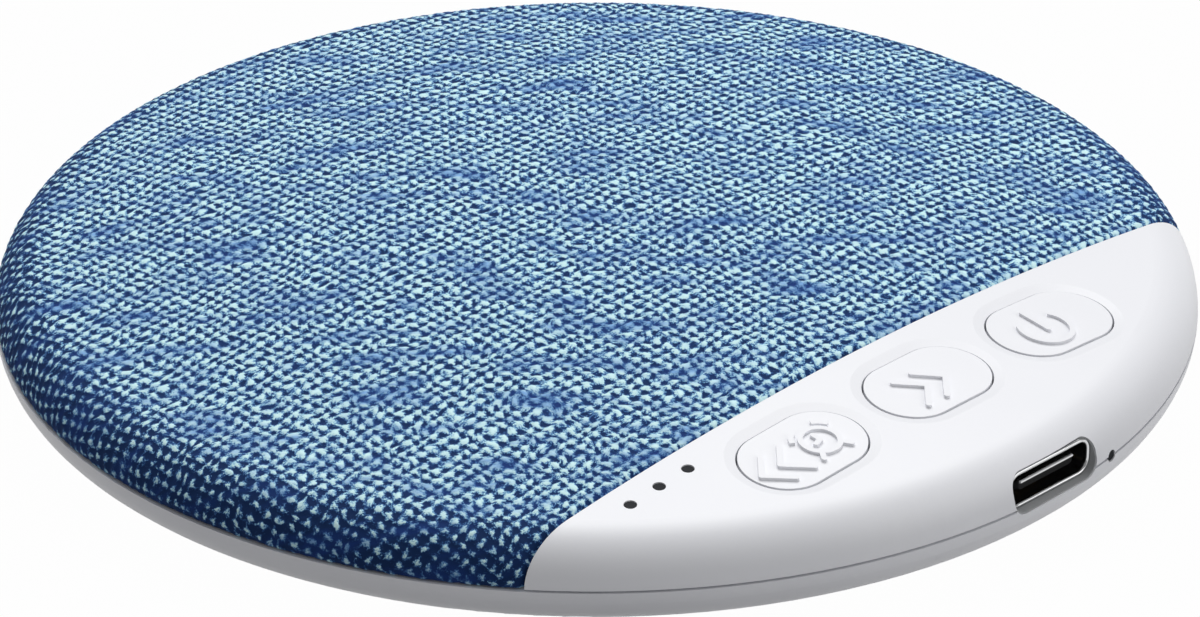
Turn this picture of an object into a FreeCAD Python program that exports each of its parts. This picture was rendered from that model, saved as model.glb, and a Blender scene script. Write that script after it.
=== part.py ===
import FreeCAD, Part
import math
import os

# Sound machine for the night, millimetres.
# Origin: centre of the feet on the table. +Z up, -Y towards the keys and the charging port.

# Case
case_diameter = 90.0
foot_height = 0.8
seam_rise = 4.0           # from the underside of the case to the joint line
crown_rise = 7.24         # from the joint line to the top of the dome
edge_radius = 4.0         # rolled edge above the joint line
rim_radius = 3.4          # round below the joint line
under_slope = 20.0        # degrees, from that round in to the flat underside
lower_wall = 1.5
upper_wall = 1.3
fabric_thickness = 0.6
seam_gap = 0.2
lip_thickness = 0.8
lip_rise = 1.0
lip_clearance = 0.15
panel_depth = 17.6        # from the front of the case to the straight edge of the fabric

# Feet and the screws under them
foot_inset = 10.0         # from the side of the case to the middle of a foot
foot_radius = 3.6
foot_recess = 0.5
foot_clearance = 0.1
boss_radius = 2.8
boss_gap = 1.5            # between the board and the front bosses
screw_radius = 1.0
screw_head_radius = 1.8
screw_head_height = 1.0
screw_hole_clearance = 0.15
head_clearance = 0.2
thread_clearance = 0.03
thread_room = 0.2         # past the tip of a screw
screw_tip_cover = 0.8

# Keys
key_names = ["previous", "next", "power"]
key_pitch = 13.3
key_row_inset = 5.9       # from the straight edge to the middle of the keys
key_length = 10.6
key_width = 6.7
key_gap = 0.15
key_sink = 0.1
key_travel_room = 0.12
key_flange_length = 0.9   # past each round end
key_flange_inset = 0.35   # drawn in from each long side
key_flange_thickness = 0.7
key_stem_radius = 1.1
stem_gap = 0.05
dish_margin = 1.4
dish_depth = 0.25
icon_stroke = 0.42
icon_height = 0.22

# Board
board_thickness = 1.0
board_clearance = 0.3     # round its edge, inside the lip
board_overhang = 0.6      # past the straight edge, under the fabric
board_screw_edge = 2.8    # from the round edge of the board
board_screw_inset = 5.6   # from the straight edge of the fabric
board_post_radius = 2.0
board_screw_radius = 0.8
board_screw_head_radius = 1.4
board_screw_head_height = 0.8
board_screw_length = 3.0

# Switches under the keys
switch_length = 4.0
switch_width = 3.0
switch_height = 1.5
switch_button_radius = 0.8
switch_button_rise = 0.45
switch_button_depth = 0.5
switch_button_clearance = 0.05
switch_travel = 0.45

# Charging port
port_x = 1.2
port_rise = 1.0           # port centre above the joint line
usb_width = 8.94
usb_height = 2.96
usb_corner = 1.2
usb_wall = 0.22
usb_length = 6.5
usb_setback = 0.15
port_clearance = 0.12
tongue_width = 6.69
tongue_thickness = 0.7
tongue_length = 4.45
contact_pitch = 0.5
contact_width = 0.25
contact_length = 3.4
contact_rise = 0.05
contacts_per_side = 12

# Timer lights and the charging light
timer_count = 3
timer_key_gap = 2.5       # from the previous key to the first timer window
timer_pitch = 2.95
timer_inset = 2.0         # from the straight edge of the fabric
window_radius = 0.46
window_clearance = 0.03
window_sink = 0.08
window_flange = 0.3
window_flange_thickness = 0.5
led_length = 1.6
led_width = 0.8
led_height = 0.6
led_air = 0.25
charge_light_gap = 2.03   # from the side of the port
pipe_radius = 0.42
pipe_clearance = 0.05
pipe_setback = 0.15
charge_led_inset = 0.3    # in from the edge of the board
charge_led_depth = 1.0
charge_led_width = 1.6

# Battery
battery_length = 37.0
battery_width = 14.0
battery_thickness = 5.0
battery_inset = 4.2       # from the straight edge of the fabric
battery_corner = 1.5
pad_thickness = 0.5
pad_margin = 1.0
fence_height = 2.0
fence_thickness = 0.8
fence_clearance = 0.3

# Speaker
speaker_radius = 18.0
speaker_gap = 0.9         # between the battery and the skirt round the speaker
speaker_flange = 3.4
speaker_flange_thickness = 0.7
yoke_clearance = 0.4      # between the yoke and the floor
gasket_width = 1.9
gasket_thickness = 0.5
skirt_thickness = 1.0
skirt_clearance = 0.3
skirt_drop = 1.1
seat_margin = 0.1         # flat seat below the ceiling at its far edge
yoke_radius = 8.3
yoke_wall = 0.8
yoke_height = 2.85
magnet_radius = 5.9
magnet_thickness = 1.5
plate_radius = 6.1
plate_thickness = 0.6
coil_inner_radius = 6.5
coil_wall = 0.5
coil_height = 1.9
cone_inset = 4.8          # from the rim of the speaker to the edge of the cone
cone_drop = 0.9
cone_skin = 0.3
cap_rise = 0.7
roll_rise = 0.45
roll_skin = 0.2
basket_skin = 0.5
terminal_length = 4.4
terminal_width = 1.8
terminal_thickness = 0.8
terminal_inset = 0.2
terminal_turn = 210.0     # degrees round the speaker
grille_hole_radius = 0.8
grille_pitch = 2.6
grille_rings = 5

# Connectors and leads
connector_x = 13.3
connector_inset = 1.3     # from the straight edge of the fabric
connector_length = 4.4
connector_width = 3.2
connector_height = 2.2
lead_radius = 0.35
lead_pitch = 1.25
lead_shift = 1.8          # sideways step of the battery leads
lead_stack = 0.9          # the speaker leads lie one over the other past the battery
lane_clearance = 1.35     # from the end of the battery to the middle of the speaker leads

# Parts soldered to the board: length, width and height
sound_chip_size = (3.6, 3.6, 0.8)
memory_chip_size = (3.6, 3.0, 0.8)
power_chip_size = (3.0, 3.0, 0.75)
crystal_size = (2.0, 1.6, 0.5)
inductor_size = (3.0, 3.0, 1.2)
capacitor_size = (0.5, 1.0, 0.5)
capacitor_pitch = (1.1, 1.3)
resistor_size = (1.0, 0.5, 0.35)
chip_gap = 1.8

# Sizes and heights that follow from the ones above
case_radius = case_diameter / 2
edge_centre = case_radius - edge_radius
dome_radius = (edge_centre ** 2 + crown_rise ** 2 - edge_radius ** 2) / (2 * (crown_rise - edge_radius))
base_z = foot_height
seam_z = base_z + seam_rise
floor_z = base_z + lower_wall
cover_inset = fabric_thickness + upper_wall
port_z = seam_z + port_rise
board_top = port_z - usb_height / 2
board_bottom = board_top - board_thickness
lip_top = seam_z + lip_rise
icon_reach = 3 * edge_radius
Vector = FreeCAD.Vector

# Places that follow the straight edge between the fabric and the key panel
panel_chord_y = panel_depth - case_radius
key_row_y = panel_chord_y - key_row_inset
timer_row_y = panel_chord_y - timer_inset
timer_first_x = -key_pitch - key_length / 2 - timer_key_gap
board_rear_y = panel_chord_y + board_overhang
board_screw_y = panel_chord_y - board_screw_inset
connector_y = panel_chord_y - connector_inset
charge_light_x = port_x + usb_width / 2 + charge_light_gap
battery_front_y = panel_chord_y + battery_inset
battery_rear_y = battery_front_y + battery_width
battery_middle_y = battery_front_y + battery_width / 2
speaker_y = battery_rear_y + speaker_gap + skirt_thickness + skirt_clearance + speaker_radius
cone_radius = speaker_radius - cone_inset
foot_circle = case_radius - foot_inset
foot_y = -(board_rear_y + boss_radius + boss_gap)
foot_x = math.sqrt(foot_circle ** 2 - foot_y ** 2)


def dome_height(radius, inset):
    """Height of the dome, drawn in by inset, at a distance from the axis."""
    return seam_z + crown_rise - dome_radius + math.sqrt((dome_radius - inset) ** 2 - radius ** 2)


def side_radius(height, inset):
    """Radius of the rolled edge above the joint line at a height."""
    rise = height - seam_z
    return edge_centre + math.sqrt((edge_radius - inset) ** 2 - rise ** 2)


def spin(edges):
    """Solid of revolution about Z from closed edges in the XZ plane."""
    face = Part.Face(Part.Wire(Part.__sortEdges__(edges)))
    body = face.revolve(Vector(0, 0, 0), Vector(0, 0, 1), 360)
    return body if body.Volume > 0 else body.reversed()


def line(start, end):
    return Part.LineSegment(Vector(start[0], 0, start[1]), Vector(end[0], 0, end[1])).toShape()


def arc(start, middle, end):
    points = [Vector(point[0], 0, point[1]) for point in (start, middle, end)]
    return Part.Arc(*points).toShape()


def dome_body(inset, bottom):
    """Everything inside the upper outline drawn in by inset, down to a height."""
    corner = edge_radius - inset
    turn = math.acos(edge_centre / (dome_radius - edge_radius))
    join = (edge_centre + corner * math.cos(turn), seam_z + corner * math.sin(turn))
    half = (edge_centre + corner * math.cos(turn / 2), seam_z + corner * math.sin(turn / 2))
    side = (edge_centre + corner, seam_z)
    between = (join[0] / 2, dome_height(join[0] / 2, inset))
    top = (0, dome_height(0, inset))
    low = min(bottom, seam_z)
    edges = [arc(side, half, join), arc(join, between, top)]
    edges += [line(top, (0, low)), line((0, low), (side[0], low))]
    if low < seam_z:
        edges.append(line((side[0], low), side))
    body = spin(edges)
    if bottom > seam_z:
        body = body.cut(cylinder(case_radius + 1, low - 1, bottom))
    return body


def bowl_body(inset, top):
    """Everything inside the lower outline drawn in by inset, up to a height."""
    round_radius = min(rim_radius, seam_rise) - inset
    slope = math.radians(under_slope)
    centre_x = case_radius - round_radius - inset
    side = (centre_x + round_radius, seam_z)
    turn = math.pi / 2 - slope
    half = (centre_x + round_radius * math.cos(turn / 2), seam_z - round_radius * math.sin(turn / 2))
    low = (centre_x + round_radius * math.sin(slope), seam_z - round_radius * math.cos(slope))
    flat_z = base_z + inset
    flat = (low[0] - (low[1] - flat_z) / math.tan(slope), flat_z)
    high = max(top, seam_z)
    edges = [arc(side, half, low), line(low, flat), line(flat, (0, flat_z))]
    edges += [line((0, flat_z), (0, high)), line((0, high), (side[0], high))]
    if high > seam_z:
        edges.append(line((side[0], high), side))
    body = spin(edges)
    if top < seam_z:
        body = body.cut(cylinder(case_radius + 1, top, high + 1))
    return body


def cylinder(radius, bottom, top, x=0, y=0):
    return Part.makeCylinder(radius, top - bottom, Vector(x, y, bottom))


def tube(inner, outer, bottom, top, x=0, y=0):
    return cylinder(outer, bottom, top, x, y).cut(cylinder(inner, bottom, top, x, y))


def box(low, high):
    size = [high[i] - low[i] for i in range(3)]
    return Part.makeBox(size[0], size[1], size[2], Vector(*low))


def block(x, y, length, width, bottom, top):
    return box((x - length / 2, y - width / 2, bottom), (x + length / 2, y + width / 2, top))


def stadium_wire(length, width):
    """Outline of a bar with round ends, about the origin."""
    radius = width / 2
    reach = length / 2 - radius
    rear = Part.LineSegment(Vector(-reach, radius, 0), Vector(reach, radius, 0))
    right = Part.Arc(Vector(reach, radius, 0), Vector(reach + radius, 0, 0), Vector(reach, -radius, 0))
    front = Part.LineSegment(Vector(reach, -radius, 0), Vector(-reach, -radius, 0))
    left = Part.Arc(Vector(-reach, -radius, 0), Vector(-reach - radius, 0, 0), Vector(-reach, radius, 0))
    return Part.Wire([curve.toShape() for curve in (rear, right, front, left)])


def stadium(x, y, length, width, bottom, top):
    body = Part.Face(stadium_wire(length, width)).extrude(Vector(0, 0, top - bottom))
    body.translate(Vector(x, y, bottom))
    return body


def under_dome(body, high_inset, low_inset):
    """The layer of a body that lies between two offsets of the dome."""
    layer = dome_body(high_inset, base_z).cut(dome_body(low_inset, base_z))
    return body.common(layer)


def front_half(body, keep_front):
    """The part of a body before or behind the straight edge of the key panel."""
    reach = case_diameter
    if keep_front:
        return body.common(box((-reach, -reach, -reach), (reach, panel_chord_y, reach)))
    return body.common(box((-reach, panel_chord_y, -reach), (reach, reach, reach)))


def foot_places():
    return {
        "front_left": (-foot_x, -foot_y),
        "front_right": (foot_x, -foot_y),
        "rear_left": (-foot_x, foot_y),
        "rear_right": (foot_x, foot_y),
    }


def key_places():
    return {name: (i - 1) * key_pitch for i, name in enumerate(key_names)}


def board_screw_places():
    x = math.sqrt(board_radius() ** 2 - board_screw_y ** 2) - board_screw_edge
    return [(-x, board_screw_y), (x, board_screw_y)]


def timer_places():
    return [timer_first_x - i * timer_pitch for i in range(timer_count)]


def lip_outer():
    """The lip clears the rolled edge inside the upper shell at its top."""
    return side_radius(lip_top, cover_inset) - lip_clearance


def board_radius():
    return lip_outer() - lip_thickness - board_clearance


def port_front():
    """How far forward the mouth of the port lies, just inside the wall at its highest corner."""
    wall = side_radius(port_z + usb_height / 2, 0)
    return -math.sqrt(wall ** 2 - (port_x + usb_width / 2) ** 2) + usb_setback


def port_prism(clearance, front, rear):
    """A round-cornered bar along Y with the outline of the port and a clearance round it."""
    width = usb_width + 2 * clearance
    height = usb_height + 2 * clearance
    low = (port_x - width / 2, front, port_z - height / 2)
    high = (port_x + width / 2, rear, port_z + height / 2)
    body = box(low, high)
    corners = [edge for edge in body.Edges if abs(edge.tangentAt(edge.FirstParameter).y) > 0.99]
    return body.makeFillet(usb_corner + clearance, corners)


def light_prism(clearance, front, rear):
    """A round bar along Y where the charging light shows, on the joint line."""
    base = Vector(charge_light_x, front, seam_z)
    return Part.makeCylinder(pipe_radius + clearance, rear - front, base, Vector(0, 1, 0))


def seat_z():
    """Flat seat of the speaker, just under the ceiling at its far edge."""
    far = speaker_y + speaker_radius + skirt_clearance + skirt_thickness
    return dome_height(far, cover_inset) - seat_margin


def yoke_bottom():
    return floor_z + yoke_clearance


def flange_top():
    return seat_z() - gasket_thickness


def screw_tip():
    return dome_height(foot_circle, cover_inset) - screw_tip_cover


def head_seat():
    """Where the heads of the case screws bear, above the feet."""
    return base_z + foot_recess + head_clearance + screw_head_height


def make_lower_shell():
    top = seam_z - seam_gap / 2
    outside = bowl_body(0, top)
    shell = outside.cut(bowl_body(lower_wall, top + 1))
    # The lip stands on a ledge inside the wall and reaches into the upper shell.
    lip_inner = lip_outer() - lip_thickness
    ledge = outside.common(tube(lip_inner, case_radius, top - lip_rise, top))
    shell = shell.fuse(ledge)
    shell = shell.fuse(tube(lip_inner, lip_outer(), top - lip_rise, lip_top))
    for x, y in foot_places().values():
        shell = shell.fuse(cylinder(boss_radius, floor_z, seam_z, x, y))
    for x, y in board_screw_places():
        shell = shell.fuse(cylinder(board_post_radius, floor_z, board_bottom, x, y))
    for x in key_places().values():
        shell = shell.fuse(cylinder(board_post_radius, floor_z, board_bottom, x, key_row_y))
    shell = shell.fuse(make_battery_fence())
    for x, y in foot_places().values():
        shell = shell.cut(cylinder(foot_radius + foot_clearance, 0, base_z + foot_recess, x, y))
        shell = shell.cut(cylinder(screw_head_radius + head_clearance, 0, head_seat(), x, y))
        shell = shell.cut(cylinder(screw_radius + screw_hole_clearance, 0, seam_z + 1, x, y))
    for x, y in board_screw_places():
        tip = board_top - board_screw_length + board_screw_head_height
        thread = board_screw_radius + thread_clearance
        shell = shell.cut(cylinder(thread, tip - thread_room, board_bottom, x, y))
    shell = shell.cut(port_prism(port_clearance, -case_radius - 1, key_row_y))
    half_width = usb_width / 2 + port_clearance
    low = (port_x - half_width, -case_radius, port_z)
    high = (port_x + half_width, key_row_y, lip_top + 1)
    shell = shell.cut(box(low, high).common(cylinder(lip_outer() + 0.01, seam_z, high[2])))
    shell = shell.cut(light_prism(pipe_clearance, -case_radius - 1, key_row_y))
    return shell.removeSplitter()


def make_battery_fence():
    """Low ribs at the ends and the rear of the battery."""
    reach = battery_length / 2 + fence_clearance + fence_thickness / 2
    rear = battery_rear_y + fence_clearance + fence_thickness / 2
    top = floor_z + pad_thickness + fence_height
    left = block(-reach, battery_middle_y, fence_thickness, battery_width / 2, floor_z, top)
    right = block(reach, battery_middle_y, fence_thickness, battery_width / 2, floor_z, top)
    rear_top = floor_z + pad_thickness + fence_height / 2
    back = block(0, rear, battery_length / 2, fence_thickness, floor_z, rear_top)
    return left.fuse([right, back])


def grille_holes():
    """Rings of holes over the speaker."""
    spots = [(0, speaker_y)]
    for ring in range(1, grille_rings + 1):
        for i in range(6 * ring):
            turn = math.tau * (i + 0.5) / (6 * ring)
            radius = ring * grille_pitch
            spots.append((radius * math.cos(turn), speaker_y + radius * math.sin(turn)))
    top = seam_z + dome_radius / 10
    return Part.makeCompound([cylinder(grille_hole_radius, seam_z, top, x, y) for x, y in spots])


def key_dish(x):
    """Shallow flared recess round a key, square to the dome."""
    inner = stadium_wire(key_length, key_width)
    outer = stadium_wire(key_length + 2 * dish_margin, key_width + 2 * dish_margin)
    inner.translate(Vector(0, 0, -dish_depth))
    outer.translate(Vector(0, 0, 0.02))
    flare = Part.makeLoft([inner, outer], True, True)
    foot = Vector(x, key_row_y, 0)
    height = dome_height(foot.Length, 0)
    tilt = FreeCAD.Rotation(Vector(0, 0, 1), Vector(x / dome_radius, key_row_y / dome_radius, 1))
    flare.Placement = FreeCAD.Placement(Vector(x, key_row_y, height), tilt)
    return flare


def make_upper_shell():
    bottom = seam_z + seam_gap / 2
    inside = dome_body(cover_inset, seam_z - 1)
    panel = front_half(dome_body(0, bottom), True)
    carrier = front_half(dome_body(fabric_thickness, bottom), False)
    shell = panel.fuse(carrier).cut(inside)
    # The speaker seats on a flat ring with a skirt round its flange.
    seat = seat_z()
    skirt_inner = speaker_radius + skirt_clearance
    skirt_outer = skirt_inner + skirt_thickness
    ring_inner = speaker_radius - gasket_width - seat_margin
    ring = tube(ring_inner, skirt_outer, seat, seat + edge_radius, 0, speaker_y)
    skirt = tube(skirt_inner, skirt_outer, seat - skirt_drop, seat, 0, speaker_y)
    filler = dome_body(cover_inset - upper_wall / 2, seam_z - 1)
    shell = shell.fuse(ring.common(filler)).fuse(skirt)
    for x, y in foot_places().values():
        boss = cylinder(boss_radius, seam_z, seam_z + 2 * edge_radius, x, y)
        shell = shell.fuse(boss.common(filler))
        thread_top = screw_tip() + thread_room
        shell = shell.cut(cylinder(screw_radius + thread_clearance, seam_z - 1, thread_top, x, y))
    shell = shell.cut(grille_holes())
    top = dome_height(0, 0)
    for x in key_places().values():
        size = (key_length + 2 * key_gap, key_width + 2 * key_gap)
        shell = shell.cut(key_dish(x)).cut(stadium(x, key_row_y, *size, seam_z, top))
    for x in timer_places():
        shell = shell.cut(cylinder(window_radius + window_clearance, seam_z, top, x, timer_row_y))
    shell = shell.cut(port_prism(port_clearance, -case_radius - 1, port_front() + usb_length + port_clearance))
    shell = shell.cut(light_prism(pipe_clearance, -case_radius - 1, key_row_y))
    return shell.removeSplitter()


def make_fabric_cover():
    bottom = seam_z + seam_gap / 2
    skin = dome_body(0, bottom).cut(dome_body(fabric_thickness, seam_z - 1))
    return front_half(skin, False)


def make_foot(x, y):
    body = cylinder(foot_radius, 0, base_z + foot_recess, x, y)
    low = [edge for edge in body.Edges if edge.BoundBox.ZMax < 0.01]
    return body.makeChamfer(foot_height / 4, low)


def make_case_screws():
    screws = []
    for x, y in foot_places().values():
        head = cylinder(screw_head_radius, head_seat() - screw_head_height, head_seat(), x, y)
        screws.append(head.fuse(cylinder(screw_radius, head_seat(), screw_tip(), x, y)))
    return Part.makeCompound(screws)


def make_main_board():
    board = cylinder(board_radius(), board_bottom, board_top)
    reach = case_diameter
    board = board.common(box((-reach, -reach, 0), (reach, board_rear_y, reach)))
    for x, y in board_screw_places():
        board = board.cut(cylinder(board_screw_radius + screw_hole_clearance, 0, reach, x, y))
    return board


def make_board_screws():
    screws = []
    tip = board_top + board_screw_head_height - board_screw_length
    for x, y in board_screw_places():
        head = cylinder(board_screw_head_radius, board_top, board_top + board_screw_head_height, x, y)
        screws.append(head.fuse(cylinder(board_screw_radius, tip, board_top, x, y)))
    return Part.makeCompound(screws)


def stroke(start, end):
    """A straight icon stroke with round ends, as a tall prism."""
    run = Vector(end[0] - start[0], end[1] - start[1], 0)
    body = stadium(0, 0, run.Length + icon_stroke, icon_stroke, 0, icon_reach)
    turn = math.degrees(math.atan2(run.y, run.x))
    body.rotate(Vector(0, 0, 0), Vector(0, 0, 1), turn)
    body.translate(Vector((start[0] + end[0]) / 2, (start[1] + end[1]) / 2, 0))
    return body


def chevrons(x, y, direction):
    """Two arrow heads side by side, as on a skip key."""
    half_height = 1.75
    depth = 1.75
    spacing = 1.95
    strokes = []
    for i in (-0.5, 0.5):
        tip = (x + direction * depth / 2 + i * spacing, y)
        for side in (-1, 1):
            strokes.append(stroke((tip[0] - direction * depth, y + side * half_height), tip))
    return strokes


def ring_stroke(x, y, radius, first, last):
    """A round icon stroke from one angle to another, in degrees."""
    inner = radius - icon_stroke / 2
    outer = radius + icon_stroke / 2
    middle = Vector(x, y, 0)
    sector = Part.makeCylinder(outer, icon_reach, middle, Vector(0, 0, 1), last - first)
    sector.rotate(middle, Vector(0, 0, 1), first)
    return sector.cut(cylinder(inner, 0, icon_reach, x, y))


def power_icon(x, y):
    radius = 2.0
    bar_top = y + 1.15 * radius
    return [ring_stroke(x, y, radius, 143, 397), stroke((x, y - 0.15 * radius), (x, bar_top))]


def timer_icon(x, y):
    """A plain alarm clock: ring, two hands, two bells and two feet."""
    radius = 1.45
    strokes = [ring_stroke(x, y, radius, 0, 360)]
    strokes.append(stroke((x, y), (x, y + 0.5 * radius)))
    strokes.append(stroke((x, y), (x - 0.4 * radius, y - 0.1 * radius)))
    bell_turn = 45
    bell_half = 17
    for side in (-1, 1):
        middle = 90 + side * bell_turn
        strokes.append(ring_stroke(x, y, 1.45 * radius, middle - bell_half, middle + bell_half))
        foot = (x + side * radius, y - 1.2 * radius)
        strokes.append(stroke((x + side * 0.8 * radius, y - 0.9 * radius), foot))
    return strokes


def key_icon(name, x):
    if name == "power":
        return power_icon(x - 0.9, key_row_y - 0.4)
    if name == "next":
        return chevrons(x - 0.55, key_row_y - 0.5, 1)
    return chevrons(x - 2.9, key_row_y - 0.4, -1) + timer_icon(x + 1.6, key_row_y - 0.2)


def stem_bottom():
    return board_top + switch_height + switch_button_rise + stem_gap


def make_key(name, x):
    top = dome_height(0, 0)
    flange_high = cover_inset + key_travel_room
    flange_low = flange_high + key_flange_thickness
    cap = under_dome(stadium(x, key_row_y, key_length, key_width, seam_z, top), key_sink, flange_low)
    flange_size = (key_length + 2 * key_flange_length, key_width - 2 * key_flange_inset)
    flange = under_dome(stadium(x, key_row_y, *flange_size, seam_z, top), flange_high, flange_low)
    stem = cylinder(key_stem_radius, stem_bottom(), top, x, key_row_y)
    stem = stem.common(dome_body(flange_high, base_z))
    key = cap.fuse([flange, stem])
    relief = key_sink - icon_height
    for mark in key_icon(name, x):
        key = key.fuse(under_dome(mark, relief, key_sink + icon_height))
    return key.removeSplitter()


def make_switch(x):
    top = board_top + switch_height
    body = block(x, key_row_y, switch_length, switch_width, board_top, top)
    hole_bottom = top - switch_button_depth - switch_travel
    return body.cut(cylinder(switch_button_radius + switch_button_clearance, hole_bottom, top, x, key_row_y))


def make_switch_button(x):
    top = board_top + switch_height
    return cylinder(switch_button_radius, top - switch_button_depth, top + switch_button_rise, x, key_row_y)


def make_usb_shell():
    front = port_front()
    rear = front + usb_length
    body = port_prism(0, front, rear)
    return body.cut(port_prism(-usb_wall, front - 1, rear - usb_wall))


def make_usb_tongue():
    """Insulator: a block that fills the rear of the shell, with a thin tongue in front."""
    front = port_front()
    rear = front + usb_length - usb_wall
    root = rear - (usb_length - usb_wall - tongue_length) / 2
    block_body = port_prism(-usb_wall, root, rear)
    low = (port_x - tongue_width / 2, root - tongue_length, port_z - tongue_thickness / 2)
    high = (port_x + tongue_width / 2, root, port_z + tongue_thickness / 2)
    return block_body.fuse(box(low, high)).removeSplitter()


def make_usb_contacts():
    front = port_front()
    rear = front + usb_length - usb_wall
    root = rear - (usb_length - usb_wall - tongue_length) / 2
    contacts = []
    for side in (-1, 1):
        face = port_z + side * tongue_thickness / 2
        bottom = min(face, face + side * contact_rise)
        for i in range(contacts_per_side):
            x = port_x + (i - (contacts_per_side - 1) / 2) * contact_pitch
            y = root - contact_length / 2
            contacts.append(block(x, y, contact_width, contact_length, bottom, bottom + contact_rise))
    return Part.makeCompound(contacts)


def make_timer_led(x):
    return block(x, timer_row_y, led_length, led_width, board_top, board_top + led_height)


def make_timer_window(x):
    """Smoked pin through the panel with a flange under the ceiling."""
    top = dome_height(0, 0)
    bottom = board_top + led_height + led_air
    flange_high = cover_inset + window_clearance
    pin = cylinder(window_radius, bottom, top, x, timer_row_y).common(dome_body(window_sink, base_z))
    flange = cylinder(window_radius + window_flange, seam_z, top, x, timer_row_y)
    flange = under_dome(flange, flange_high, flange_high + window_flange_thickness)
    return pin.fuse(flange)


def charge_led_front():
    side = charge_light_x + charge_led_width / 2
    return -math.sqrt(board_radius() ** 2 - side ** 2) + charge_led_inset


def make_charge_led():
    y = charge_led_front() + charge_led_depth / 2
    top = seam_z + pipe_radius + pipe_clearance
    return block(charge_light_x, y, charge_led_width, charge_led_depth, board_top, top)


def make_charge_light_pipe():
    wall = math.sqrt(case_radius ** 2 - charge_light_x ** 2)
    return light_prism(0, -wall + pipe_setback, charge_led_front())


def chip(x, y, size):
    return block(x, y, size[0], size[1], board_top, board_top + size[2])


def make_board_parts():
    """Small parts soldered to the board, placed between the switches."""
    between = key_pitch / 2
    sound_x = port_x - usb_width / 2 - chip_gap - sound_chip_size[0] / 2
    sound_y = key_row_y - key_width / 2 - 1
    memory_x = charge_light_x + charge_led_width / 2 + chip_gap + memory_chip_size[0] / 2
    memory_y = key_row_y - switch_width / 2 - chip_gap / 2 - memory_chip_size[1] / 2
    power_chip_y = connector_y - chip_gap / 3
    inductor_x = connector_x + connector_length / 2 + chip_gap / 2 + inductor_size[0] / 2
    parts = {
        "sound_chip": chip(sound_x, sound_y, sound_chip_size),
        "memory_chip": chip(memory_x, memory_y, memory_chip_size),
        "amplifier_chip": chip(-between, power_chip_y, power_chip_size),
        "charger_chip": chip(between, power_chip_y, power_chip_size),
        "crystal": chip(-between, key_row_y, crystal_size),
        "inductor": chip(inductor_x, connector_y, inductor_size),
    }
    capacitors = []
    for row in (0, 1):
        for column in (-1, 0, 1):
            x = between + column * capacitor_pitch[0]
            y = key_row_y + row * capacitor_pitch[1] - capacitor_size[1] / 3
            capacitors.append(chip(x, y, capacitor_size))
    parts["chip_capacitors"] = Part.makeCompound(capacitors)
    resistor_y = (timer_row_y + board_rear_y) / 2
    resistors = [chip(x, resistor_y, resistor_size) for x in timer_places()]
    parts["chip_resistors"] = Part.makeCompound(resistors)
    return parts


def make_battery():
    bottom = floor_z + pad_thickness
    top = bottom + battery_thickness
    body = block(0, battery_middle_y, battery_length, battery_width, bottom, top)
    corners = [edge for edge in body.Edges if abs(edge.tangentAt(edge.FirstParameter).z) > 0.99]
    return body.makeFillet(battery_corner, corners)


def make_battery_pad():
    length = battery_length - 2 * pad_margin
    width = battery_width - 2 * pad_margin
    return block(0, battery_middle_y, length, width, floor_z, floor_z + pad_thickness)


def make_connector(x):
    return chip(x, connector_y, (connector_length, connector_width, connector_height))


def lead(points, radius):
    """A lead as straight runs joined by tangent arcs, along a list of points."""
    spots = [Vector(*point) for point in points]
    edges = []
    start = spots[0]
    for before, corner, after in zip(spots, spots[1:], spots[2:]):
        back = (before - corner).normalize()
        ahead = (after - corner).normalize()
        turn = math.pi - back.getAngle(ahead)
        shorter = min((before - corner).Length, (after - corner).Length)
        reach = 0.45 * shorter
        bend = reach / math.tan(turn / 2)
        inward = (back + ahead).normalize()
        middle = corner + inward * (bend / math.cos(turn / 2) - bend)
        first = corner + back * reach
        last = corner + ahead * reach
        edges.append(Part.LineSegment(start, first).toShape())
        edges.append(Part.Arc(first, middle, last).toShape())
        start = last
        print("lead bend radius", round(bend, 2))
    edges.append(Part.LineSegment(start, spots[-1]).toShape())
    path = Part.Wire(edges)
    direction = spots[1] - spots[0]
    section = Part.Wire(Part.makeCircle(radius, spots[0], direction))
    body = path.makePipeShell([section], True, False)
    print("lead volume ratio", round(body.Volume / (path.Length * math.pi * radius ** 2), 4))
    return body


def connector_rear():
    return connector_y + connector_width / 2


def connector_middle():
    return board_top + connector_height / 2


def battery_lead_points(side):
    """Route of one battery lead, from the front of the cell to its connector."""
    end_x = connector_x + side * lead_pitch / 2
    start_x = end_x - lead_shift
    third = (battery_front_y - connector_rear()) / 3
    level = connector_middle()
    return [
        (start_x, battery_front_y, level),
        (start_x, battery_front_y - third, level),
        (end_x, connector_rear() + third, level),
        (end_x, connector_rear(), level),
    ]


def speaker_lead_points(side):
    """Route of one speaker lead, past the left end of the battery to its connector."""
    turn = math.radians(terminal_turn)
    out = (math.cos(turn), math.sin(turn))
    shift = side * terminal_length / 5
    reach = speaker_radius - terminal_inset
    start_x = reach * out[0] - out[1] * shift
    start_y = speaker_y + reach * out[1] + out[0] * shift
    start_z = flange_top() - speaker_flange_thickness - terminal_thickness / 2
    straight = 2.2
    lane = -battery_length / 2 - lane_clearance
    level = connector_middle() + (1 + side) / 2 * lead_stack
    end_x = -connector_x + side * lead_pitch / 2
    turn_y = connector_rear() + 1.6 + side * 0.3
    return [
        (start_x, start_y, start_z),
        (start_x + straight * out[0], start_y + straight * out[1], start_z),
        (lane, battery_rear_y + 0.6 - side * 0.5, level + 0.3),
        (lane, battery_front_y + 4.0, level),
        (lane + 0.9, battery_front_y - 0.9, level),
        (end_x - 2.9, turn_y + 0.3, level),
        (end_x, turn_y, connector_middle()),
        (end_x, connector_rear(), connector_middle()),
    ]


def make_gasket():
    inner = speaker_radius - gasket_width
    return tube(inner, speaker_radius - seat_margin, flange_top(), seat_z(), 0, speaker_y)


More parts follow.
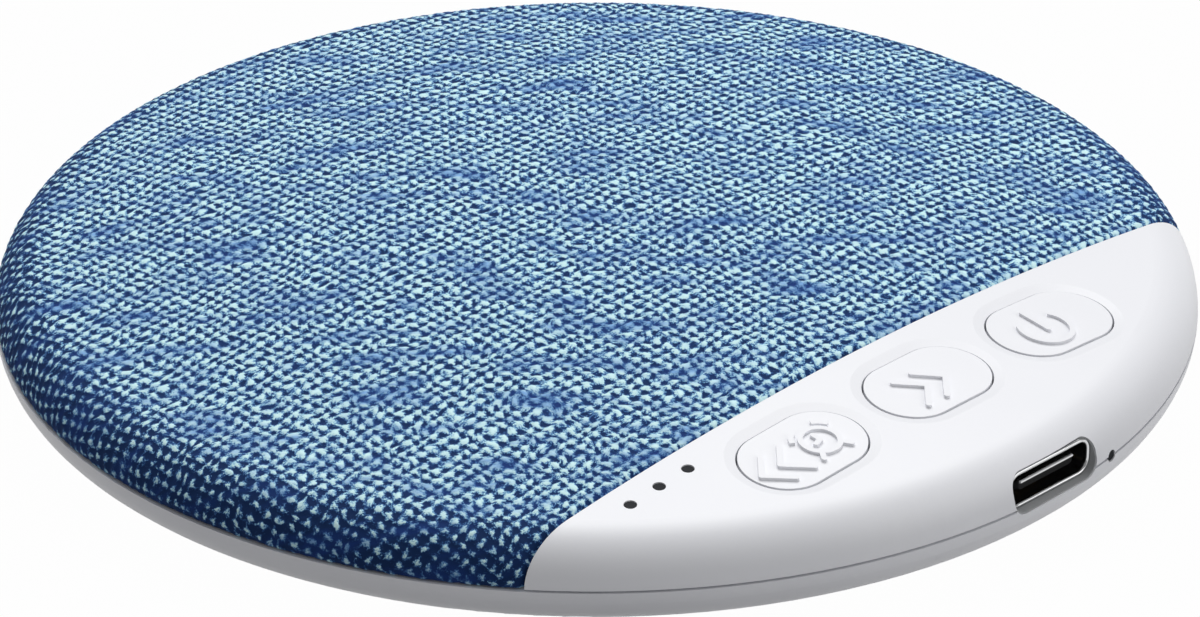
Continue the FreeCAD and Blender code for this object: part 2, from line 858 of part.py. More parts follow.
def make_basket():
    """Pressed frame: flange, sloping wall with windows and a collar round the yoke."""
    top = flange_top()
    low = top - speaker_flange_thickness
    yoke_top = yoke_bottom() + yoke_height
    flange_inner = speaker_radius - speaker_flange
    flange = tube(flange_inner, speaker_radius, low, top)
    collar_outer = yoke_radius + 1.2
    collar = tube(yoke_radius, collar_outer, yoke_top - basket_skin, yoke_top)
    upper = [(flange_inner, low), (flange_inner + basket_skin, low)]
    lower = [(collar_outer, yoke_top - basket_skin), (collar_outer - basket_skin, yoke_top - basket_skin)]
    inside = [(collar_outer - basket_skin, yoke_top), (flange_inner, low + basket_skin)]
    points = upper + lower + inside
    wall = spin([line(a, b) for a, b in zip(points, points[1:] + points[:1])])
    frame = flange.fuse([collar, wall])
    window = tube(collar_outer + 0.8, flange_inner - 0.8, yoke_top - 1, top)
    gap = window.common(box((-2.6, 0, 0), (2.6, speaker_radius, top)))
    for i in range(4):
        opening = gap.copy()
        opening.rotate(Vector(0, 0, 0), Vector(0, 0, 1), 90 * i + 75)
        frame = frame.cut(opening)
    frame.translate(Vector(0, speaker_y, 0))
    return frame.removeSplitter()


def make_speaker_terminals():
    """Small tag board under the flange where the leads are soldered."""
    low = flange_top() - speaker_flange_thickness - terminal_thickness
    far = speaker_radius - terminal_inset
    middle = far - terminal_width / 2
    body = block(middle, 0, terminal_width, terminal_length, low, low + terminal_thickness)
    body.rotate(Vector(0, 0, 0), Vector(0, 0, 1), terminal_turn)
    body.translate(Vector(0, speaker_y, 0))
    return body


def make_yoke():
    bottom = yoke_bottom()
    cup = cylinder(yoke_radius, bottom, bottom + yoke_height, 0, speaker_y)
    top = bottom + yoke_height + 1
    return cup.cut(cylinder(yoke_radius - yoke_wall, bottom + yoke_wall, top, 0, speaker_y))


def make_magnet():
    bottom = yoke_bottom() + yoke_wall
    return cylinder(magnet_radius, bottom, bottom + magnet_thickness, 0, speaker_y)


def make_top_plate():
    bottom = yoke_bottom() + yoke_wall + magnet_thickness
    return cylinder(plate_radius, bottom, bottom + plate_thickness, 0, speaker_y)


def coil_top():
    return flange_top() - cone_drop


def make_voice_coil():
    outer = coil_inner_radius + coil_wall
    return tube(coil_inner_radius, outer, coil_top() - coil_height, coil_top(), 0, speaker_y)


def make_diaphragm():
    """Thin cone with a round cap over the coil."""
    rim_z = flange_top() + roll_skin
    neck = coil_inner_radius + coil_wall
    neck_z = coil_top() + cone_skin
    cap_radius = (neck ** 2 + cap_rise ** 2) / (2 * cap_rise)
    half_fall = cap_radius - math.sqrt(cap_radius ** 2 - (neck / 2) ** 2)
    cap_z = neck_z + cap_rise
    half_z = cap_z - half_fall
    outline = [
        line((0, cap_z), (0, cap_z - cone_skin)),
        arc((0, cap_z - cone_skin), (neck / 2, half_z - cone_skin), (neck, coil_top())),
        line((neck, coil_top()), (cone_radius, rim_z - cone_skin)),
        line((cone_radius, rim_z - cone_skin), (cone_radius, rim_z)),
        line((cone_radius, rim_z), (neck, neck_z)),
        arc((neck, neck_z), (neck / 2, half_z), (0, cap_z)),
    ]
    body = spin(outline)
    body.translate(Vector(0, speaker_y, 0))
    return body


def make_surround():
    """Rubber half roll between the cone and the flange."""
    low = flange_top()
    outer = speaker_radius - gasket_width - 0.2
    roll_out = speaker_radius - speaker_flange + 0.3
    roll_in = cone_radius + 0.02
    middle = (roll_in + roll_out) / 2
    high = low + roll_skin
    outline = [
        line((outer, low), (outer, high)),
        line((outer, high), (roll_out, high)),
        arc((roll_out, high), (middle, high + roll_rise), (roll_in, high)),
        line((roll_in, high), (roll_in, low)),
        line((roll_in, low), (roll_in + roll_skin, low)),
        arc((roll_in + roll_skin, low), (middle, low + roll_rise), (roll_out, low)),
        line((roll_out, low), (outer, low)),
    ]
    body = spin(outline)
    body.translate(Vector(0, speaker_y, 0))
    return body


def build():
    nodes = {
        "lower_shell": make_lower_shell(),
        "upper_shell": make_upper_shell(),
        "fabric_cover": make_fabric_cover(),
        "case_screws": make_case_screws(),
        "main_board": make_main_board(),
        "board_screws": make_board_screws(),
        "usb_shell": make_usb_shell(),
        "usb_tongue": make_usb_tongue(),
        "usb_contacts": make_usb_contacts(),
        "charge_led": make_charge_led(),
        "charge_light_pipe": make_charge_light_pipe(),
        "battery": make_battery(),
        "battery_pad": make_battery_pad(),
        "battery_connector": make_connector(connector_x),
        "speaker_connector": make_connector(-connector_x),
        "battery_lead_red": lead(battery_lead_points(1), lead_radius),
        "battery_lead_black": lead(battery_lead_points(-1), lead_radius),
        "speaker_lead_red": lead(speaker_lead_points(1), lead_radius),
        "speaker_lead_black": lead(speaker_lead_points(-1), lead_radius),
        "speaker_gasket": make_gasket(),
        "speaker_basket": make_basket(),
        "speaker_terminals": make_speaker_terminals(),
        "speaker_yoke": make_yoke(),
        "speaker_magnet": make_magnet(),
        "speaker_top_plate": make_top_plate(),
        "voice_coil": make_voice_coil(),
        "diaphragm": make_diaphragm(),
        "surround": make_surround(),
    }
    for name, (x, y) in foot_places().items():
        nodes["foot_" + name] = make_foot(x, y)
    for name, x in key_places().items():
        nodes[name + "_key"] = make_key(name, x)
        nodes[name + "_switch"] = make_switch(x)
        nodes[name + "_switch_button"] = make_switch_button(x)
    for i, x in enumerate(timer_places(), 1):
        nodes[f"timer_led_{i}"] = make_timer_led(x)
        nodes[f"timer_window_{i}"] = make_timer_window(x)
    nodes.update(make_board_parts())
    return nodes


os.makedirs("parts", exist_ok=True)
for node, shape in build().items():
    shape.exportStep(f"parts/{node}.step")
    size = shape.BoundBox
    print(node, len(shape.Solids), round(shape.Volume, 2), "valid" if shape.isValid() else "invalid",
          round(size.ZMin, 2), round(size.ZMax, 2))
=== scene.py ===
import bpy
import math
import numpy as np
from mathutils import Matrix, Vector
from mathutils.geometry import delaunay_2d_cdt


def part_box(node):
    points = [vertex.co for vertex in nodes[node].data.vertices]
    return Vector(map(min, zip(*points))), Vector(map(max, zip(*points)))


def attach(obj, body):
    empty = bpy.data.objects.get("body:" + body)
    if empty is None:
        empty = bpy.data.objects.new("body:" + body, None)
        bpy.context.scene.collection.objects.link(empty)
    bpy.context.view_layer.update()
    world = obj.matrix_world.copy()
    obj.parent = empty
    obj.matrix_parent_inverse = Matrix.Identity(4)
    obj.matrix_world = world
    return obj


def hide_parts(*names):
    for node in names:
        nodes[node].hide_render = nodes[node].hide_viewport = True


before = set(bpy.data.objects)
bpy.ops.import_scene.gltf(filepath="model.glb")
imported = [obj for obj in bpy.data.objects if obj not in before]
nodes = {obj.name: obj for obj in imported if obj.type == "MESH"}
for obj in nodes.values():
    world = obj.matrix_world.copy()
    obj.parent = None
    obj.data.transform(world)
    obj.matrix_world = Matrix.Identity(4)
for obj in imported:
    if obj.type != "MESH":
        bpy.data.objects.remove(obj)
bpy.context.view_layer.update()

# Camera: it stands at the left front corner and looks down at the key panel
# through a long lens, so the round case shows as a wide, shallow oval.
mm = 0.001
photo_azimuth = -45.97
photo_elevation = 28.10
photo_roll = -0.13
photo_distance = 0.63
photo_focal_px = 8383.0
photo_width_px = 1200
photo_height_px = 617
photo_axis_px = (596.3, 341.2)
aim_height = 0.8 * mm
sensor_width_mm = 36

turn = math.radians(photo_azimuth)
tilt = math.radians(photo_elevation)
toward = Vector((math.sin(turn) * math.cos(tilt), -math.cos(turn) * math.cos(tilt), math.sin(tilt)))
lens = bpy.data.cameras.new("photo_camera")
lens.sensor_width = sensor_width_mm
lens.lens = photo_focal_px / photo_width_px * sensor_width_mm
lens.shift_x = (photo_width_px / 2 - photo_axis_px[0]) / photo_width_px
lens.shift_y = (photo_axis_px[1] - photo_height_px / 2) / photo_width_px
lens.clip_start = 0.01
camera = bpy.data.objects.new("photo_camera", lens)
bpy.context.collection.objects.link(camera)
aim = (-toward).to_track_quat("-Z", "Y").to_matrix().to_4x4()
place = Matrix.Translation(toward * photo_distance + Vector((0, 0, aim_height)))
camera.matrix_world = place @ aim @ Matrix.Rotation(math.radians(photo_roll), 4, "Z")
bpy.context.scene.camera = camera


# Floor and light: a plain pale table sweep under a wide soft box above and to the right,
# a weak fill in front and a weak even sky, so the near side falls off in tone.
def linear(code):
    """Linear colour with alpha from an sRGB hex code."""
    parts = [int(code[i:i + 2], 16) / 255 for i in (1, 3, 5)]
    return tuple(c / 12.92 if c <= 0.04045 else ((c + 0.055) / 1.055) ** 2.4 for c in parts) + (1.0,)


def add_node(material, kind, links=None, **settings):
    """Adds a shader node with its settings, and links or values for its inputs.

    A Mix node's inputs go by number: 0 is the share, 6 and 7 are the two colours.
    """
    tree = material.node_tree
    made = tree.nodes.new(kind)
    for name, value in settings.items():
        setattr(made, name, value)
    for socket, value in (links or {}).items():
        if isinstance(value, bpy.types.NodeSocket):
            tree.links.new(value, made.inputs[socket])
        else:
            made.inputs[socket].default_value = value
    return made


def new_material(name):
    """An empty node material."""
    material = bpy.data.materials.new(name)
    material.use_nodes = True
    material.node_tree.nodes.clear()
    return material


def close_material(material, shader):
    """Joins the shader to the material's output."""
    add_node(material, "ShaderNodeOutputMaterial", {"Surface": shader.outputs[0]})
    return material


bpy.context.scene.view_settings.view_transform = "Standard"
sky_strength = 0.30
soft_boxes = {
    "top_box": {"watts": 9.35, "size": 0.8, "place": (0.36, 0.38, 0.95)},
    "right_fill": {"watts": 2.6, "size": 0.7, "place": (0.45, -0.8, 0.42)},
}
floor_reach = 40.0
floor_grey = linear("#9A9A9C")
floor_glow = 0.985

world = bpy.data.worlds.new("studio")
world.use_nodes = True
bpy.context.scene.world = world
sky = world.node_tree.nodes["Background"]
path = add_node(world, "ShaderNodeLightPath")
level = add_node(world, "ShaderNodeMath", {0: path.outputs["Is Camera Ray"], 1: sky_strength},
                 operation="MAXIMUM")
world.node_tree.links.new(level.outputs[0], sky.inputs["Strength"])
sky.inputs["Color"].default_value = (1, 1, 1, 1)

for name, box in soft_boxes.items():
    lamp = bpy.data.lights.new(name, "AREA")
    lamp.shape = "SQUARE"
    lamp.size = box["size"]
    lamp.energy = box["watts"]
    soft_box = bpy.data.objects.new(name, lamp)
    bpy.context.collection.objects.link(soft_box)
    soft_box.location = box["place"]
    soft_box.rotation_euler = (-Vector(box["place"])).to_track_quat("-Z", "Y").to_euler()

paper = new_material("white_paper_sweep")
diffuse = add_node(paper, "ShaderNodeBsdfDiffuse", {"Color": floor_grey})
glow = add_node(paper, "ShaderNodeEmission", {"Color": (1, 1, 1, 1), "Strength": 1.0})
rays = add_node(paper, "ShaderNodeLightPath")
seen = add_node(paper, "ShaderNodeMath", {0: rays.outputs["Is Camera Ray"], 1: rays.outputs["Is Glossy Ray"]},
                operation="MAXIMUM")
share = add_node(paper, "ShaderNodeMath", {0: seen.outputs[0], 1: floor_glow}, operation="MULTIPLY")
mixed = add_node(paper, "ShaderNodeMixShader", {0: share.outputs[0], 1: diffuse.outputs[0],
                                                2: glow.outputs[0]})
close_material(paper, mixed)
floor_mesh = bpy.data.meshes.new("floor")
corners = [(-1, -1), (1, -1), (1, 1), (-1, 1)]
floor_mesh.from_pydata([(x * floor_reach, y * floor_reach, 0) for x, y in corners], [], [(0, 1, 2, 3)])
floor_mesh.materials.append(paper)
floor = bpy.data.objects.new("floor", floor_mesh)
bpy.context.collection.objects.link(floor)


# Textile cover: a plain weave of pale cyan yarn over navy yarn, cut on the bias,
# stretched over the carrier and tucked in at the panel's edge and at the joint line.
edge_radius = 4.0
joint_gap = 0.2
fabric_skin = 0.55
yarn_pitch = 0.68
yarn_turn = -45.0
yarn_wander = 0.27
wander_length = 1.3
cloth_drift = 0.5
drift_length = 9.0
relief = 0.07
relief_middle = 0.5
mesh_step = 0.272
outline_ratio = 1.15
face_margin = 0.55
row_ratio = 0.866
back_step = 2.4
back_margin = 0.5
tuck_depth = 0.38
tuck_width = 0.32
hem_tuck_share = 0.4
edge_shade_start = 1.2
edge_shade_length = 4.2
edge_parts = 160

low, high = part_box("fabric_cover")
case_radius = (high[0] - low[0]) / 2 / mm
hem_z = low[2] / mm
chord_y = low[1] / mm
crown_z = high[2] / mm
rim_centre = case_radius - edge_radius
seam_z = hem_z - joint_gap / 2
crown_rise = crown_z - seam_z
dome_radius = (rim_centre ** 2 + crown_rise ** 2 - edge_radius ** 2) / (2 * (crown_rise - edge_radius))
join_turn = math.asin(rim_centre / (dome_radius - edge_radius))
join_reach = dome_radius * join_turn
full_reach = join_reach + edge_radius * (math.pi / 2 - join_turn) - (hem_z - seam_z)


def wrap(flat, sink):
    """Points on the case from points of the flat cloth, sunk below the outline by a depth."""
    reach = np.maximum(np.hypot(flat[:, 0], flat[:, 1]), 1e-9)
    on_dome = reach <= join_reach
    bend = np.where(on_dome, reach / dome_radius, join_turn + (reach - join_reach) / edge_radius)
    centre = np.where(on_dome, 0.0, rim_centre)
    height = np.where(on_dome, crown_z - dome_radius, seam_z)
    curve = np.where(on_dome, dome_radius, edge_radius) - sink
    radius = centre + curve * np.sin(bend)
    z = height + curve * np.cos(bend)
    return np.stack([flat[:, 0] / reach * radius, flat[:, 1] / reach * radius, z], 1)


def flat_reach(radius):
    """Distance along the cloth from the crown to a radius on the case."""
    on_dome = radius <= dome_radius * math.sin(join_turn)
    if on_dome:
        return dome_radius * math.asin(radius / dome_radius)
    side = math.asin(min(1.0, (radius - rim_centre) / edge_radius))
    return join_reach + edge_radius * (side - join_turn)


def cloth_outline(step):
    """Outline of the flat cloth: round, with the panel's straight edge in front."""
    side_x = math.sqrt(case_radius ** 2 - chord_y ** 2)
    start = math.atan2(chord_y, side_x)
    stop = math.pi - start
    count = int(full_reach * (stop - start) / step)
    arc = [start + (stop - start) * i / count for i in range(count + 1)]
    outline = [(full_reach * math.cos(a), full_reach * math.sin(a)) for a in arc]
    count = int(2 * side_x / step)
    for i in range(1, count):
        x = -side_x * math.cos(math.pi * i / count)
        radius = math.hypot(x, chord_y)
        scale = flat_reach(radius) / radius
        outline.append((x * scale, chord_y * scale))
    return np.array(outline)


def smooth_noise(points, size, seed):
    """Even random field between -1 and 1 with features of a given size."""
    rng = np.random.default_rng(seed)
    cells = int(4 * full_reach / size) + 4
    grid = rng.uniform(-1, 1, (cells, cells))
    spot = (points + 2 * full_reach) / size
    cell = np.floor(spot).astype(int)
    part = spot - cell
    part = part * part * (3 - 2 * part)
    x, y = cell[:, 0] % (cells - 1), cell[:, 1] % (cells - 1)
    near = grid[x, y] * (1 - part[:, 0]) + grid[x + 1, y] * part[:, 0]
    far = grid[x, y + 1] * (1 - part[:, 0]) + grid[x + 1, y + 1] * part[:, 0]
    return near * (1 - part[:, 1]) + far * part[:, 1]


def weave_coordinates(flat):
    """Yarn counts along and across the pale yarn, wandering a little as in real cloth."""
    angle = math.radians(yarn_turn)
    along = flat[:, 0] * math.cos(angle) + flat[:, 1] * math.sin(angle)
    across = -flat[:, 0] * math.sin(angle) + flat[:, 1] * math.cos(angle)
    along = along + yarn_wander * smooth_noise(flat, wander_length, 3)
    along = along + cloth_drift * smooth_noise(flat, drift_length, 4)
    across = across + yarn_wander * smooth_noise(flat, wander_length, 5)
    across = across + cloth_drift * smooth_noise(flat, drift_length, 6)
    return np.stack([along, across], 1) / yarn_pitch


def yarn_height(counts):
    """Height of the pale yarn, 1 where it passes over and -1 where the navy yarn does."""
    return np.sin(math.pi * counts[:, 0]) * np.sin(math.pi * counts[:, 1])


def fill_outline(outline, step, margin):
    """Even grid inside the outline: its points, its triangles and the outline's point numbers."""
    count = int(2 * full_reach / step) + 2
    rows = int(2 * full_reach / (step * row_ratio)) + 2
    x, y = np.meshgrid(np.arange(count) * step - full_reach, np.arange(rows) * step * row_ratio - full_reach)
    x = x + (np.arange(rows) % 2)[:, None] * step / 2
    grid = np.stack([x.ravel(), y.ravel()], 1)
    reach = np.hypot(grid[:, 0], grid[:, 1])
    chord = np.interp(grid[:, 0], *edge_line())
    inside = (reach < full_reach - margin) & (grid[:, 1] > chord + margin)
    points = [Vector(p) for p in np.concatenate([outline, grid[inside]])]
    edges = [(i, (i + 1) % len(outline)) for i in range(len(outline))]
    result = delaunay_2d_cdt(points, edges, [], 1, 1e-7)
    ring = [0] * len(outline)
    for number, sources in enumerate(result[3]):
        for source in sources:
            if source < len(outline):
                ring[source] = number
    return np.array([tuple(p) for p in result[0]]), [tuple(face) for face in result[2]], ring


def edge_line():
    """The panel's edge in the flat cloth, as x and y lists for interpolation."""
    side_x = math.sqrt(case_radius ** 2 - chord_y ** 2)
    xs, ys = [], []
    for i in range(edge_parts + 1):
        x = -side_x + 2 * side_x * i / edge_parts
        radius = math.hypot(x, chord_y)
        scale = flat_reach(radius) / radius
        xs.append(x * scale)
        ys.append(chord_y * scale)
    return xs, ys


outline = cloth_outline(mesh_step * outline_ratio)
face_flat, face_tris, ring_face = fill_outline(outline, mesh_step, mesh_step * face_margin)
back_flat, back_tris, ring_back = fill_outline(outline, back_step, back_step * back_margin)
counts = weave_coordinates(face_flat)
to_edge = face_flat[:, 1] - np.interp(face_flat[:, 0], *edge_line())
to_hem = full_reach - np.hypot(face_flat[:, 0], face_flat[:, 1])
tuck = tuck_depth * np.exp(-(to_edge / tuck_width) ** 2)
tuck = tuck + hem_tuck_share * tuck_depth * np.exp(-(to_hem / tuck_width) ** 2)
face_points = wrap(face_flat, tuck - relief * (yarn_height(counts) - relief_middle))
back_points = wrap(back_flat, np.full(len(back_flat), fabric_skin))
shift = len(face_points)
faces = list(face_tris) + [(c + shift, b + shift, a + shift) for a, b, c in back_tris]
for i in range(len(outline)):
    j = (i + 1) % len(outline)
    faces.append((ring_face[j], ring_face[i], ring_back[i] + shift, ring_back[j] + shift))
cover_mesh = bpy.data.meshes.new("textile_cover")
cover_mesh.from_pydata([tuple(p) for p in np.concatenate([face_points, back_points]) * mm], [], faces)
all_counts = np.concatenate([counts, weave_coordinates(back_flat)])
loops = np.zeros(len(cover_mesh.loops), dtype=np.int32)
cover_mesh.loops.foreach_get("vertex_index", loops)
cover_mesh.uv_layers.new(name="yarns").data.foreach_set("uv", all_counts[loops].ravel())
all_reach = np.hypot(*np.concatenate([face_flat, back_flat]).T)
# Painted shade: a share that darkens the cloth towards navy over the rolled edge, which turns away from the
# top light.
edge_shade = np.clip((all_reach - join_reach + edge_shade_start) / edge_shade_length, 0, 1)
cover_mesh.attributes.new("edge_shade", "FLOAT", "POINT").data.foreach_set("value", edge_shade)
cover_mesh.shade_smooth()
textile_cover = bpy.data.objects.new("textile_cover", cover_mesh)
bpy.context.collection.objects.link(textile_cover)

# Heathered polyester plain weave: pale slub yarn over navy yarn, with deeper streaks, and
# painted shade that turns the cloth navy over the rolled edge. Lengths are in yarn spacings of 0.68 mm.
# A fibre is far too fine to show, so its noise is drawn as coarse as half a yarn.
# Partly a slanted yarn shape, partly painted light and shade: each pale bump is brighter on one side and
# darker on the other.
slant_and_shade_phase = -math.pi - 1.4
slant_and_shade_share = 0.2
fibre_size = 0.5
fibre_share = 5.6
slub_length = 1.818
slub_share = 1.1
# How strongly the painted shade on the rolled edge darkens the cloth.
edge_shade_share = -0.7
navy_level = 2.57
pale_level = 4.32
streak_turn = math.radians(25)
streak_length = 11.11
streak_width = 3.571
streak_low = 0.48
streak_high = 0.66
streak_depth = 0.8
yarn_tones = ((0.12, "#0D2C5A"), (0.36, "#3A6CB0"), (0.52, "#99D0EE"), (0.72, "#D8FAFF"))
weave = new_material("heathered_polyester_weave")
yarns = add_node(weave, "ShaderNodeUVMap", uv_map="yarns")
split = add_node(weave, "ShaderNodeSeparateXYZ", {0: yarns.outputs[0]})
turn_u = add_node(weave, "ShaderNodeMath", {0: split.outputs[0], 1: math.pi}, operation="MULTIPLY")
turn_v = add_node(weave, "ShaderNodeMath", {0: split.outputs[1], 1: math.pi}, operation="MULTIPLY")
wave_u = add_node(weave, "ShaderNodeMath", {0: turn_u.outputs[0]}, operation="SINE")
wave_v = add_node(weave, "ShaderNodeMath", {0: turn_v.outputs[0]}, operation="SINE")
crossing = add_node(weave, "ShaderNodeMath", {0: wave_u.outputs[0], 1: wave_v.outputs[0]},
                    operation="MULTIPLY")
# Painted light and shade on each yarn bump, from a wave that is a quarter turn off the weave.
slant_and_shade_turn = add_node(weave, "ShaderNodeMath", {0: split.outputs[0], 1: math.tau, 2: slant_and_shade_phase},
                      operation="MULTIPLY_ADD")
slant_and_shade = add_node(weave, "ShaderNodeMath", {0: slant_and_shade_turn.outputs[0]}, operation="COSINE")
with_slant_and_shade = add_node(weave, "ShaderNodeMath", {0: slant_and_shade.outputs[0], 1: slant_and_shade_share, 2: crossing.outputs[0]},
                   operation="MULTIPLY_ADD")
fibres = add_node(weave, "ShaderNodeTexNoise", {"Vector": yarns.outputs[0], "Scale": 1 / fibre_size,
                                                "Detail": 4.0, "Roughness": 0.75})
slubs = add_node(weave, "ShaderNodeTexNoise", {"Vector": yarns.outputs[0], "Scale": 1 / slub_length,
                                               "Detail": 2.0})
drawn = add_node(weave, "ShaderNodeMapping", {"Vector": yarns.outputs[0], "Rotation": (0, 0, streak_turn),
                                              "Scale": (1 / streak_length, 1 / streak_width, 1)})
streaks = add_node(weave, "ShaderNodeTexNoise", {"Vector": drawn.outputs[0], "Scale": 1.0, "Detail": 3.0,
                                                 "Roughness": 0.65})
edge_shade_map = add_node(weave, "ShaderNodeAttribute", attribute_name="edge_shade")
with_fibres = add_node(weave, "ShaderNodeMath", {0: fibres.outputs[0], 1: fibre_share,
                                                 2: with_slant_and_shade.outputs[0]}, operation="MULTIPLY_ADD")
with_slubs = add_node(weave, "ShaderNodeMath", {0: slubs.outputs[0], 1: slub_share,
                                                2: with_fibres.outputs[0]}, operation="MULTIPLY_ADD")
# Painted shade on the rolled edge: this pulls the tone down to the navy ground there.
with_edge_shade = add_node(weave, "ShaderNodeMath", {0: edge_shade_map.outputs["Fac"], 1: edge_shade_share,
                                            2: with_slubs.outputs[0]}, operation="MULTIPLY_ADD")
lift = add_node(weave, "ShaderNodeMapRange", {"Value": with_edge_shade.outputs[0], "From Min": navy_level,
                                              "From Max": pale_level})
tone = add_node(weave, "ShaderNodeValToRGB", {"Fac": lift.outputs[0]})
tone.color_ramp.elements.remove(tone.color_ramp.elements[1])
tone.color_ramp.elements[0].position = yarn_tones[0][0]
tone.color_ramp.elements[0].color = linear(yarn_tones[0][1])
for stop, code in yarn_tones[1:]:
    tone.color_ramp.elements.new(stop).color = linear(code)
streak_share = add_node(weave, "ShaderNodeMapRange", {"Value": streaks.outputs[0], "From Min": streak_low,
                                                      "From Max": streak_high, "To Max": streak_depth})
deep = add_node(weave, "ShaderNodeMix", {0: lift.outputs[0], 6: linear("#17387C"), 7: linear("#5E98DE")},
                data_type="RGBA")
streaked = add_node(weave, "ShaderNodeMix", {0: streak_share.outputs[0], 6: tone.outputs[0],
                                             7: deep.outputs[2]}, data_type="RGBA")
bump = add_node(weave, "ShaderNodeBump", {"Height": lift.outputs[0], "Strength": 0.6, "Distance": 0.15 * mm})
fibre = add_node(weave, "ShaderNodeBsdfPrincipled", {"Base Color": streaked.outputs[2], "Roughness": 0.85,
                                                     "Specular IOR Level": 0.2, "Normal": bump.outputs[0]})
close_material(weave, fibre)
cover_mesh.materials.append(weave)
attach(textile_cover, "housing")
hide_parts("fabric_cover")


# Case shells and key caps: injection moulded ABS in a cool white, with the faint fine
# spark texture of the mould, so broad highlights stay soft. The real pits are a tenth of
# a millimetre wide, and they are drawn wider so that they show.
spark_size = 0.3846
cloud_size = 16.67
abs_white = new_material("moulded_abs_white")
place = add_node(abs_white, "ShaderNodeTexCoord")
spark = add_node(abs_white, "ShaderNodeTexNoise", {"Vector": place.outputs["Object"],
                                                   "Scale": 1 / (spark_size * mm), "Detail": 2.0})
spark_bump = add_node(abs_white, "ShaderNodeBump", {"Height": spark.outputs[0], "Strength": 0.12,
                                                    "Distance": 0.02 * mm})
cloud = add_node(abs_white, "ShaderNodeTexNoise", {"Vector": place.outputs["Object"],
                                                   "Scale": 1 / (cloud_size * mm)})
tint = add_node(abs_white, "ShaderNodeMix", {0: cloud.outputs[0], 6: linear("#F1F2F6"), 7: linear("#ECEDF2")},
                data_type="RGBA")
plastic = add_node(abs_white, "ShaderNodeBsdfPrincipled", {"Base Color": tint.outputs[2], "Roughness": 0.42,
                                                           "IOR": 1.53, "Normal": spark_bump.outputs[0]})
close_material(abs_white, plastic)


def dress(material, *names):
    """Gives CAD nodes their material."""
    for name in names:
        slots = nodes[name].data.materials
        slots.clear()
        slots.append(material)


dress(abs_white, "upper_shell", "lower_shell", "previous_key", "next_key", "power_key")


# Charging port: a bright plated steel shell with a rolled rim, in a grey sleeve that lines
# the opening in the wall as painted shade, standing in for the shade and dark reflections
# there. A black tongue with a steel front edge and gold contacts stands in it.
def speckled(name, low_code, high_code, grain, **settings):
    """A material whose colour drifts a little between two tones, over a grain in millimetres."""
    material = new_material(name)
    place = add_node(material, "ShaderNodeTexCoord")
    cloud = add_node(material, "ShaderNodeTexNoise", {"Vector": place.outputs["Object"],
                                                      "Scale": 1 / (grain * mm), "Detail": 3.0})
    tint = add_node(material, "ShaderNodeMix", {0: cloud.outputs[0], 6: linear(low_code),
                                                7: linear(high_code)}, data_type="RGBA")
    body = add_node(material, "ShaderNodeBsdfPrincipled", {"Base Color": tint.outputs[2]})
    for socket, value in settings.items():
        body.inputs[socket.replace("_", " ")].default_value = value
    return close_material(material, body)


def stadium_ring(width, height, corner, count):
    """Points round a rectangle with round corners, in the XZ plane."""
    points = []
    for quarter, (sx, sz) in enumerate(((1, 1), (-1, 1), (-1, -1), (1, -1))):
        for i in range(count):
            turn = math.pi / 2 * (quarter + i / (count - 1))
            x = sx * (width / 2 - corner) + corner * math.cos(turn)
            z = sz * (height / 2 - corner) + corner * math.sin(turn)
            points.append((x, z))
    return points


def ring_mesh(name, rings, closed):
    """A skin through rings of equally many points, its ends capped or joined to each other."""
    count = len(rings[0])
    points = [tuple(c * mm for c in point) for ring in rings for point in ring]
    faces = []
    for r in range(len(rings) if closed else len(rings) - 1):
        low, high = r * count, (r + 1) % len(rings) * count
        for i in range(count):
            j = (i + 1) % count
            faces.append((low + i, low + j, high + j, high + i))
    if not closed:
        faces.append(tuple(reversed(range(count))))
        faces.append(tuple(range((len(rings) - 1) * count, len(rings) * count)))
    mesh = bpy.data.meshes.new(name)
    mesh.from_pydata(points, [], faces)
    made = bpy.data.objects.new(name, mesh)
    bpy.context.collection.objects.link(made)
    return made


def add_piece(piece, material):
    """Dresses a piece that rides the housing."""
    piece.data.materials.append(material)
    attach(piece, "housing")


corner_points = 9
port_corner = 1.2
lower_edge_radius = 3.4
sleeve_clearance = 0.02
sleeve_wall = 0.09
sleeve_sink = 0.1
low, high = (tuple(c / mm for c in corner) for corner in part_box("usb_shell"))
port_x, port_z = (low[0] + high[0]) / 2, (low[2] + high[2]) / 2
port_width, port_height, port_mouth = high[0] - low[0], high[2] - low[2], low[1]


def wall_y(x, z):
    """Outside of the case in front, a little below its surface."""
    rise = z - seam_z
    rim = edge_radius if rise > 0 else lower_edge_radius
    radius = case_radius - rim + math.sqrt(rim ** 2 - rise ** 2) - sleeve_sink
    return -math.sqrt(radius ** 2 - x ** 2)


def port_ring(grow):
    """Outline of the port's shell, wider all round by grow."""
    ring = stadium_ring(port_width + 2 * grow, port_height + 2 * grow, port_corner + grow, corner_points)
    return [(port_x + x, port_z + z) for x, z in ring]


def sleeve_ring(grow, at_wall):
    """Edge of the sleeve, at the port's mouth or at the outside of the wall."""
    spots = port_ring(grow)
    return [(x, min(wall_y(x, z), port_mouth) if at_wall else port_mouth, z) for x, z in spots]


# Known fault: the faces of port_shade_sleeve and port_rim point inwards, because the rings of
# their inner skin come first.
inner, outer = sleeve_clearance, sleeve_clearance + sleeve_wall
sleeve = ring_mesh("port_shade_sleeve", [sleeve_ring(inner, False), sleeve_ring(inner, True),
                                   sleeve_ring(outer, True), sleeve_ring(outer, False)], True)
# The sleeve's grey is painted shade: a darker lining put where the opening's wall lies in shade.
shade_sleeve_grey = speckled("grey_sleeve_painted_shade", "#A4A6A8", "#AEB0B2", 1.111, Roughness=0.5)
add_piece(sleeve, shade_sleeve_grey)

rim_wall = 0.3
rim_shoulder = 0.36
rim_crest = 0.44
rim_section = ((0, -rim_wall), (rim_shoulder, -rim_wall), (rim_crest, -rim_wall / 2), (rim_shoulder, 0),
               (0, 0))
rim_rings = [[(x, port_mouth - forward, z) for x, z in port_ring(grow)] for forward, grow in rim_section]
port_rim = ring_mesh("port_rim", rim_rings, True)
port_rim.data.shade_smooth()

